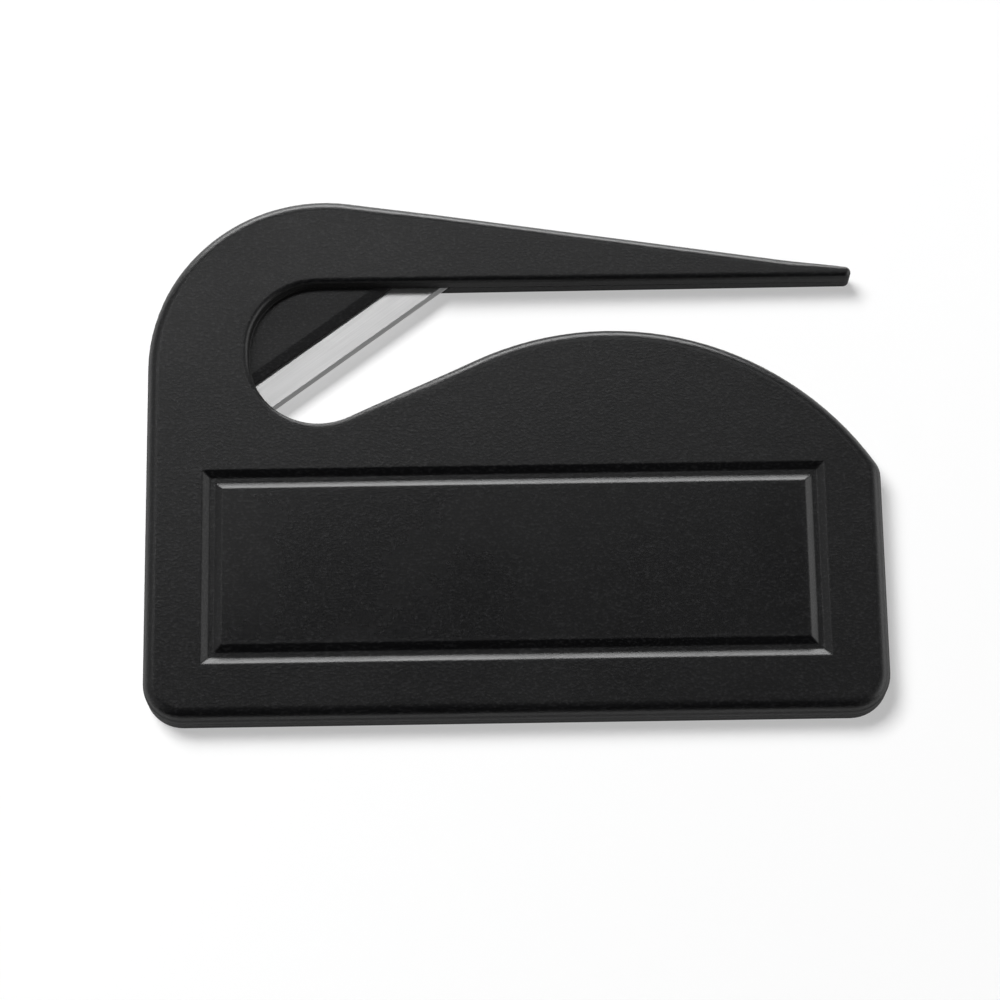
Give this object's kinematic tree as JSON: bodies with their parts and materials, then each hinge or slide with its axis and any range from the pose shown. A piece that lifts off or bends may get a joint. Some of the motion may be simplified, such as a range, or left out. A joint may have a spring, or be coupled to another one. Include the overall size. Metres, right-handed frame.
{
  "type": "letter opener",
  "caption": "Flat pocket letter opener: slim moulded handle with a humped edge, a long tapering pointer arm curling over it, and a slanted steel blade clamped in the throat between them.",
  "frame": {"origin": "middle of the outline on the flat rear face, so the rear face lies on z = 0", "axes": "+X from the back of the handle to the tip of the pointer arm; +Y from the straight base up to the arm; +Z out of the front face, the one with the moat and raised panel"},
  "size_m": [0.086, 0.0638, 0.0045],
  "materials": {
    "casing": "black moulded ABS or polystyrene with a fine satin grain",
    "blade": "thin hardened steel strip, fine ground, bevelled on one long edge"
  },
  "bodies": {
    "root": {"front_casing": "casing", "rear_casing": "casing", "blade": "blade"}
  },
  "joints": []
}
